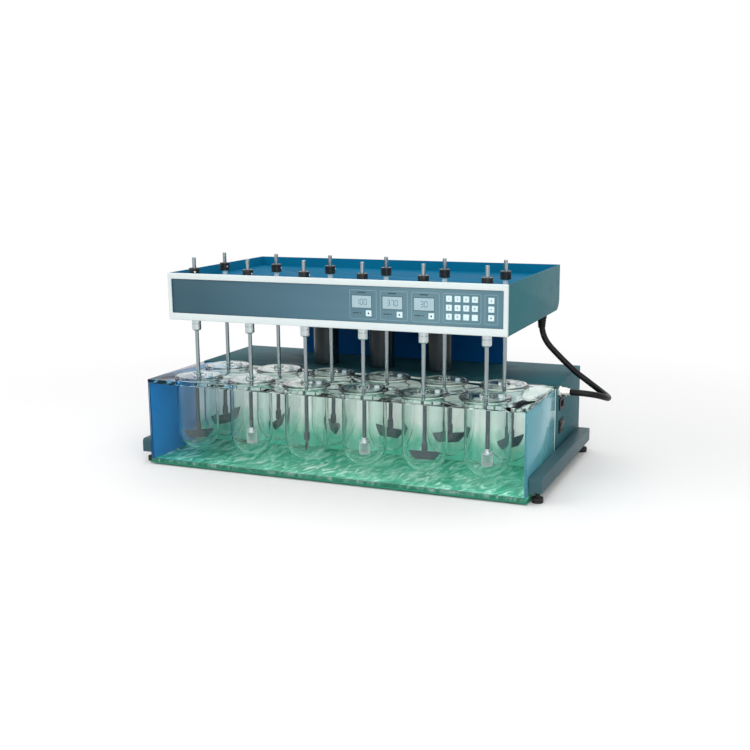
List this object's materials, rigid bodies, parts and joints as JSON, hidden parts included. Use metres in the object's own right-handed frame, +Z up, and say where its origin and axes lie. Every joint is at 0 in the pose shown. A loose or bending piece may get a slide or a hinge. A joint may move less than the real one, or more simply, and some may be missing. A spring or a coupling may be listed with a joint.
{
  "type": "tablet dissolution tester",
  "caption": "Bench tablet dissolution tester: clear water bath with two rows of glass vessels, stirrers driven from a lifting head, control panel and rear housing.",
  "frame": {"origin": "on the bench, under the middle of the instrument's length and depth", "axes": "+X to the instrument's right seen from its front, +Y to its back, +Z up"},
  "size_m": [1.1225, 0.54, 0.521],
  "materials": {
    "frame_grey": "satin",
    "foot_rubber": "matte",
    "tray_green": "satin",
    "tank_clear": "clear gloss",
    "plate_clear": "clear gloss",
    "vessel_glass": "clear",
    "lid_clear": "clear gloss",
    "housing_teal": "fine texture",
    "column_black": "gloss",
    "shroud_navy": "satin",
    "pump_metal": "cast",
    "motor_grey": "painted",
    "screw_steel": "turned",
    "entry_black": "moulded",
    "rocker_black": "moulded",
    "gland_metal": "nickel plated",
    "gland_black": "moulded",
    "hose_black": "matte",
    "column_steel": "ground",
    "deck_alloy": "machined",
    "casing_teal": "satin",
    "top_blue": "satin",
    "frame_white": "satin",
    "panel_slate": "satin film",
    "board_green": "laminate",
    "pulley_alloy": "machined",
    "belt_black": "matte",
    "bearing_steel": "ground",
    "spindle_steel": "polished",
    "key_white": "satin"
  },
  "bodies": {
    "base": {"base_frame": "frame_grey", "rubber_feet": "foot_rubber", "tank_tray": "tray_green", "water_tank": "tank_clear", "vessel_plate": "plate_clear", "glass_vessels": "vessel_glass", "housing_cover": "housing_teal", "housing_back_panel": "housing_teal", "column_sleeves": "column_black", "lift_shroud": "shroud_navy", "bath_circulator": "pump_metal", "lift_motor": "motor_grey", "power_entry": "entry_black", "hose_gland": "gland_metal", "cable_hose": "hose_black"},
    "lift_screw": {"lift_screw": "screw_steel"},
    "rocker": {"rocker_switch": "rocker_black"},
    "head": {"guide_columns": "column_steel", "head_gland": "gland_black", "head_deck": "deck_alloy", "head_casing": "casing_teal", "head_top_tray": "top_blue", "front_frame": "frame_white", "control_panel": "panel_slate", "display_board": "board_green", "drive_motor": "motor_grey", "drive_belts": "belt_black", "spindle_bearings": "bearing_steel"},
    "motor_pulley": {"motor_pulley": "pulley_alloy"},
    "lids": {"vessel_lids": "lid_clear"},
    "spindle_front_1": {"spindle_front_1": "spindle_steel"},
    "spindle_front_2": {"spindle_front_2": "spindle_steel"},
    "spindle_front_3": {"spindle_front_3": "spindle_steel"},
    "spindle_front_4": {"spindle_front_4": "spindle_steel"},
    "spindle_front_5": {"spindle_front_5": "spindle_steel"},
    "spindle_front_6": {"spindle_front_6": "spindle_steel"},
    "spindle_back_1": {"spindle_back_1": "spindle_steel"},
    "spindle_back_2": {"spindle_back_2": "spindle_steel"},
    "spindle_back_3": {"spindle_back_3": "spindle_steel"},
    "spindle_back_4": {"spindle_back_4": "spindle_steel"},
    "spindle_back_5": {"spindle_back_5": "spindle_steel"},
    "spindle_back_6": {"spindle_back_6": "spindle_steel"},
    "pad_key_1": {"pad_key_1": "key_white"},
    "pad_key_2": {"pad_key_2": "key_white"},
    "pad_key_3": {"pad_key_3": "key_white"},
    "pad_key_4": {"pad_key_4": "key_white"},
    "pad_key_5": {"pad_key_5": "key_white"},
    "pad_key_6": {"pad_key_6": "key_white"},
    "pad_key_7": {"pad_key_7": "key_white"},
    "pad_key_8": {"pad_key_8": "key_white"},
    "pad_key_9": {"pad_key_9": "key_white"},
    "pad_key_10": {"pad_key_10": "key_white"},
    "pad_key_11": {"pad_key_11": "key_white"},
    "pad_key_12": {"pad_key_12": "key_white"},
    "mode_key_1": {"mode_key_1": "key_white"},
    "mode_key_2": {"mode_key_2": "key_white"},
    "mode_key_3": {"mode_key_3": "key_white"},
    "display_key_1": {"display_key_1": "key_white"},
    "display_key_2": {"display_key_2": "key_white"},
    "display_key_3": {"display_key_3": "key_white"}
  },
  "joints": [
    {"name": "head_lift", "type": "slide", "parent": "base", "child": "head", "axis": [0, 0, 1], "range_m": [0, 0.18], "deforming": ["cable_hose"]},
    {"name": "lids_rise", "type": "slide", "parent": "base", "child": "lids", "axis": [0, 0, 1], "range_m": [0, 0.0612]},
    {"name": "lift_screw_spin", "type": "hinge", "parent": "base", "child": "lift_screw", "pos_m": [0, 0.09, 0.2], "axis": [0, 0, 1], "range_deg": [0, 6482]},
    {"name": "motor_spin", "type": "hinge", "parent": "head", "child": "motor_pulley", "pos_m": [-0.375, 0.089, 0.43], "axis": [0, 0, 1], "continuous": true},
    {"name": "spindle_front_1_spin", "type": "hinge", "parent": "head", "child": "spindle_front_1", "pos_m": [-0.375, -0.209, 0.43], "axis": [0, 0, 1], "continuous": true},
    {"name": "spindle_front_2_spin", "type": "hinge", "parent": "head", "child": "spindle_front_2", "pos_m": [-0.225, -0.209, 0.43], "axis": [0, 0, 1], "continuous": true},
    {"name": "spindle_front_3_spin", "type": "hinge", "parent": "head", "child": "spindle_front_3", "pos_m": [-0.075, -0.209, 0.43], "axis": [0, 0, 1], "continuous": true},
    {"name": "spindle_front_4_spin", "type": "hinge", "parent": "head", "child": "spindle_front_4", "pos_m": [0.075, -0.209, 0.43], "axis": [0, 0, 1], "continuous": true},
    {"name": "spindle_front_5_spin", "type": "hinge", "parent": "head", "child": "spindle_front_5", "pos_m": [0.225, -0.209, 0.43], "axis": [0, 0, 1], "continuous": true},
    {"name": "spindle_front_6_spin", "type": "hinge", "parent": "head", "child": "spindle_front_6", "pos_m": [0.375, -0.209, 0.43], "axis": [0, 0, 1], "continuous": true},
    {"name": "spindle_back_1_spin", "type": "hinge", "parent": "head", "child": "spindle_back_1", "pos_m": [-0.375, -0.061, 0.43], "axis": [0, 0, 1], "continuous": true},
    {"name": "spindle_back_2_spin", "type": "hinge", "parent": "head", "child": "spindle_back_2", "pos_m": [-0.225, -0.061, 0.43], "axis": [0, 0, 1], "continuous": true},
    {"name": "spindle_back_3_spin", "type": "hinge", "parent": "head", "child": "spindle_back_3", "pos_m": [-0.075, -0.061, 0.43], "axis": [0, 0, 1], "continuous": true},
    {"name": "spindle_back_4_spin", "type": "hinge", "parent": "head", "child": "spindle_back_4", "pos_m": [0.075, -0.061, 0.43], "axis": [0, 0, 1], "continuous": true},
    {"name": "spindle_back_5_spin", "type": "hinge", "parent": "head", "child": "spindle_back_5", "pos_m": [0.225, -0.061, 0.43], "axis": [0, 0, 1], "continuous": true},
    {"name": "spindle_back_6_spin", "type": "hinge", "parent": "head", "child": "spindle_back_6", "pos_m": [0.375, -0.061, 0.43], "axis": [0, 0, 1], "continuous": true},
    {"name": "pad_key_1_press", "type": "slide", "parent": "head", "child": "pad_key_1", "axis": [0, 1, 0], "range_m": [0, 0.001], "stiffness_N_per_m": 400, "springref_m": -0.001},
    {"name": "pad_key_2_press", "type": "slide", "parent": "head", "child": "pad_key_2", "axis": [0, 1, 0], "range_m": [0, 0.001], "stiffness_N_per_m": 400, "springref_m": -0.001},
    {"name": "pad_key_3_press", "type": "slide", "parent": "head", "child": "pad_key_3", "axis": [0, 1, 0], "range_m": [0, 0.001], "stiffness_N_per_m": 400, "springref_m": -0.001},
    {"name": "pad_key_4_press", "type": "slide", "parent": "head", "child": "pad_key_4", "axis": [0, 1, 0], "range_m": [0, 0.001], "stiffness_N_per_m": 400, "springref_m": -0.001},
    {"name": "pad_key_5_press", "type": "slide", "parent": "head", "child": "pad_key_5", "axis": [0, 1, 0], "range_m": [0, 0.001], "stiffness_N_per_m": 400, "springref_m": -0.001},
    {"name": "pad_key_6_press", "type": "slide", "parent": "head", "child": "pad_key_6", "axis": [0, 1, 0], "range_m": [0, 0.001], "stiffness_N_per_m": 400, "springref_m": -0.001},
    {"name": "pad_key_7_press", "type": "slide", "parent": "head", "child": "pad_key_7", "axis": [0, 1, 0], "range_m": [0, 0.001], "stiffness_N_per_m": 400, "springref_m": -0.001},
    {"name": "pad_key_8_press", "type": "slide", "parent": "head", "child": "pad_key_8", "axis": [0, 1, 0], "range_m": [0, 0.001], "stiffness_N_per_m": 400, "springref_m": -0.001},
    {"name": "pad_key_9_press", "type": "slide", "parent": "head", "child": "pad_key_9", "axis": [0, 1, 0], "range_m": [0, 0.001], "stiffness_N_per_m": 400, "springref_m": -0.001},
    {"name": "pad_key_10_press", "type": "slide", "parent": "head", "child": "pad_key_10", "axis": [0, 1, 0], "range_m": [0, 0.001], "stiffness_N_per_m": 400, "springref_m": -0.001},
    {"name": "pad_key_11_press", "type": "slide", "parent": "head", "child": "pad_key_11", "axis": [0, 1, 0], "range_m": [0, 0.001], "stiffness_N_per_m": 400, "springref_m": -0.001},
    {"name": "pad_key_12_press", "type": "slide", "parent": "head", "child": "pad_key_12", "axis": [0, 1, 0], "range_m": [0, 0.001], "stiffness_N_per_m": 400, "springref_m": -0.001},
    {"name": "mode_key_1_press", "type": "slide", "parent": "head", "child": "mode_key_1", "axis": [0, 1, 0], "range_m": [0, 0.001], "stiffness_N_per_m": 400, "springref_m": -0.001},
    {"name": "mode_key_2_press", "type": "slide", "parent": "head", "child": "mode_key_2", "axis": [0, 1, 0], "range_m": [0, 0.001], "stiffness_N_per_m": 400, "springref_m": -0.001},
    {"name": "mode_key_3_press", "type": "slide", "parent": "head", "child": "mode_key_3", "axis": [0, 1, 0], "range_m": [0, 0.001], "stiffness_N_per_m": 400, "springref_m": -0.001},
    {"name": "display_key_1_press", "type": "slide", "parent": "head", "child": "display_key_1", "axis": [0, 1, 0], "range_m": [0, 0.001], "stiffness_N_per_m": 400, "springref_m": -0.001},
    {"name": "display_key_2_press", "type": "slide", "parent": "head", "child": "display_key_2", "axis": [0, 1, 0], "range_m": [0, 0.001], "stiffness_N_per_m": 400, "springref_m": -0.001},
    {"name": "display_key_3_press", "type": "slide", "parent": "head", "child": "display_key_3", "axis": [0, 1, 0], "range_m": [0, 0.001], "stiffness_N_per_m": 400, "springref_m": -0.001},
    {"name": "rocker_tilt", "type": "hinge", "parent": "base", "child": "rocker", "pos_m": [0.484, 0.058, 0.108], "axis": [0, -1, 0], "range_deg": [0, 16]}
  ],
  "couplings": [
    {"joint": "lids_rise", "follows": "head_lift", "ratio": 0.33889},
    {"joint": "lift_screw_spin", "follows": "head_lift", "rad_per_m": 628.32},
    {"joint": "spindle_front_1_spin", "follows": "motor_spin", "ratio": 1},
    {"joint": "spindle_front_2_spin", "follows": "motor_spin", "ratio": 1},
    {"joint": "spindle_front_3_spin", "follows": "motor_spin", "ratio": 1},
    {"joint": "spindle_front_4_spin", "follows": "motor_spin", "ratio": 1},
    {"joint": "spindle_front_5_spin", "follows": "motor_spin", "ratio": 1},
    {"joint": "spindle_front_6_spin", "follows": "motor_spin", "ratio": 1},
    {"joint": "spindle_back_1_spin", "follows": "motor_spin", "ratio": 1},
    {"joint": "spindle_back_2_spin", "follows": "motor_spin", "ratio": 1},
    {"joint": "spindle_back_3_spin", "follows": "motor_spin", "ratio": 1},
    {"joint": "spindle_back_4_spin", "follows": "motor_spin", "ratio": 1},
    {"joint": "spindle_back_5_spin", "follows": "motor_spin", "ratio": 1},
    {"joint": "spindle_back_6_spin", "follows": "motor_spin", "ratio": 1}
  ]
}
